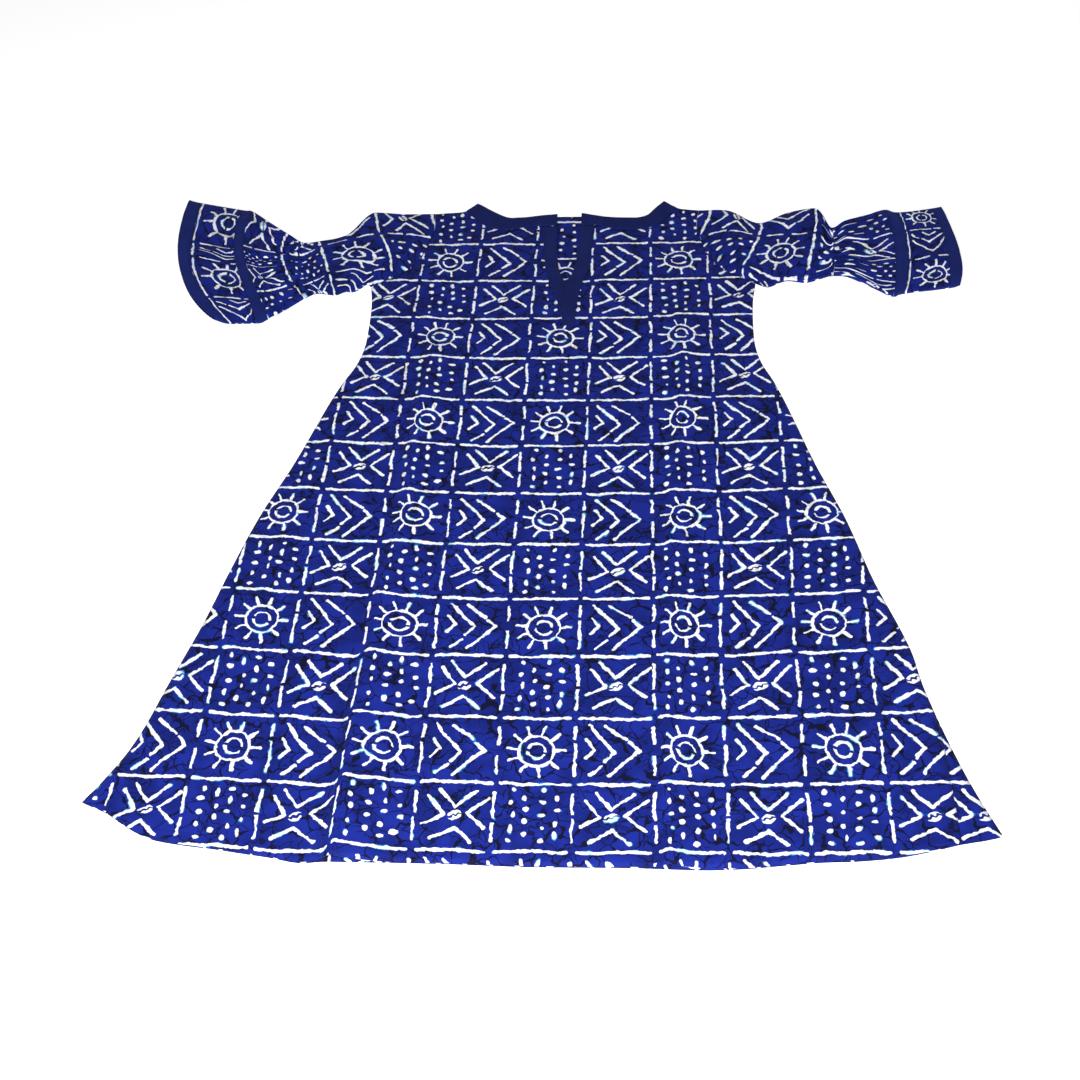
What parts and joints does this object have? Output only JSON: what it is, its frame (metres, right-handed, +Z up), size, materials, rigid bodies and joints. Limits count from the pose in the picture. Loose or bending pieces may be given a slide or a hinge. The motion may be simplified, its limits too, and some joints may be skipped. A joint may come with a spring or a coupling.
{
  "type": "ankara wax print dress",
  "caption": "A-line wax print dress laid flat, with a notched neck in plain bands and elbow sleeves that end in banded flounces.",
  "frame": {"origin": "on the surface under the back panel, on the middle line, 500 mm above the hem line", "axes": "+X across the dress towards its right edge as seen from above, +Y from the hem to the neck, +Z up from the surface that it lies on"},
  "size_m": [1.0515, 1.034, 0.0139],
  "materials": {
    "printed_cotton": "royal blue wax-printed cotton with white hand-drawn grid motifs, pale blue bleed and black crackle, matt with a slight sheen",
    "plain_navy_cotton": "plain navy cotton, matt"
  },
  "bodies": {
    "root": {"front_panel": "printed_cotton", "back_panel": "printed_cotton", "sleeve_left": "printed_cotton", "sleeve_right": "printed_cotton", "bell_left": "printed_cotton", "bell_right": "printed_cotton", "flounce_left": "printed_cotton", "flounce_right": "printed_cotton", "strip_left": "plain_navy_cotton", "strip_right": "plain_navy_cotton", "cuff_band_left": "plain_navy_cotton", "cuff_band_right": "plain_navy_cotton", "neck_band_left": "plain_navy_cotton", "neck_band_right": "plain_navy_cotton", "placket_band_left": "plain_navy_cotton", "placket_band_right": "plain_navy_cotton"}
  },
  "joints": []
}
